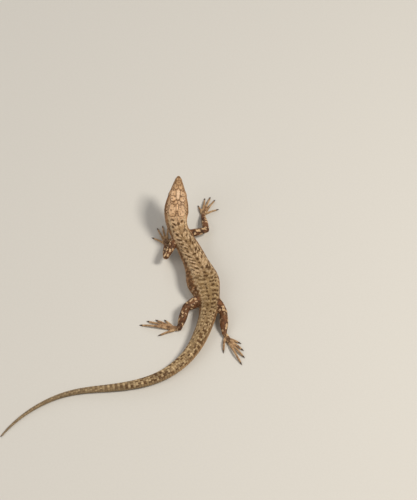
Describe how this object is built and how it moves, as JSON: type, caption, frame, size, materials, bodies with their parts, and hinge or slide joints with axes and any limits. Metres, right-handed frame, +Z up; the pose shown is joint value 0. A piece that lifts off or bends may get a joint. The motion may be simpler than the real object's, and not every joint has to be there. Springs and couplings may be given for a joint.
{
  "type": "wall lizard",
  "caption": "Life-size still model of a wall lizard basking flat on its belly with its head raised, its body curved and its long thin tail laid in a gentle bend",
  "frame": {"origin": "on the floor, under the middle of the bounding box", "axes": "head towards +Y, the animal's right side towards +X, +Z up"},
  "size_m": [0.089, 0.1144, 0.017],
  "materials": {
    "head_skin": "satin, large smooth shields",
    "body_skin": "matt, fine granular scales",
    "tail_skin": "matt, rings of keeled scales",
    "limb_skin": "matt, small scales",
    "throat_skin": "satin, small smooth scales",
    "eye": "wet gloss",
    "eardrum": "satin"
  },
  "bodies": {
    "root": {"eye_left": "eye", "ear_left": "eardrum", "eye_right": "eye", "ear_right": "eardrum", "head": "head_skin", "lower_jaw": "throat_skin", "neck": "body_skin", "chest": "body_skin", "belly": "body_skin", "pelvis": "body_skin", "tail_base": "tail_skin", "tail_upper": "tail_skin", "tail_middle": "tail_skin", "tail_lower": "tail_skin", "tail_tip": "tail_skin", "upper_arm_front_left": "limb_skin", "forearm_front_left": "limb_skin", "hand_front_left": "limb_skin", "toe_front_left_1": "limb_skin", "toe_front_left_2": "limb_skin", "toe_front_left_3": "limb_skin", "toe_front_left_4": "limb_skin", "toe_front_left_5": "limb_skin", "upper_arm_front_right": "limb_skin", "forearm_front_right": "limb_skin", "hand_front_right": "limb_skin", "toe_front_right_1": "limb_skin", "toe_front_right_2": "limb_skin", "toe_front_right_3": "limb_skin", "toe_front_right_4": "limb_skin", "toe_front_right_5": "limb_skin", "thigh_hind_left": "limb_skin", "shank_hind_left": "limb_skin", "foot_hind_left": "limb_skin", "toe_hind_left_1": "limb_skin", "toe_hind_left_2": "limb_skin", "toe_hind_left_3": "limb_skin", "toe_hind_left_4": "limb_skin", "toe_hind_left_5": "limb_skin", "thigh_hind_right": "limb_skin", "shank_hind_right": "limb_skin", "foot_hind_right": "limb_skin", "toe_hind_right_1": "limb_skin", "toe_hind_right_2": "limb_skin", "toe_hind_right_3": "limb_skin", "toe_hind_right_4": "limb_skin", "toe_hind_right_5": "limb_skin"}
  },
  "joints": []
}
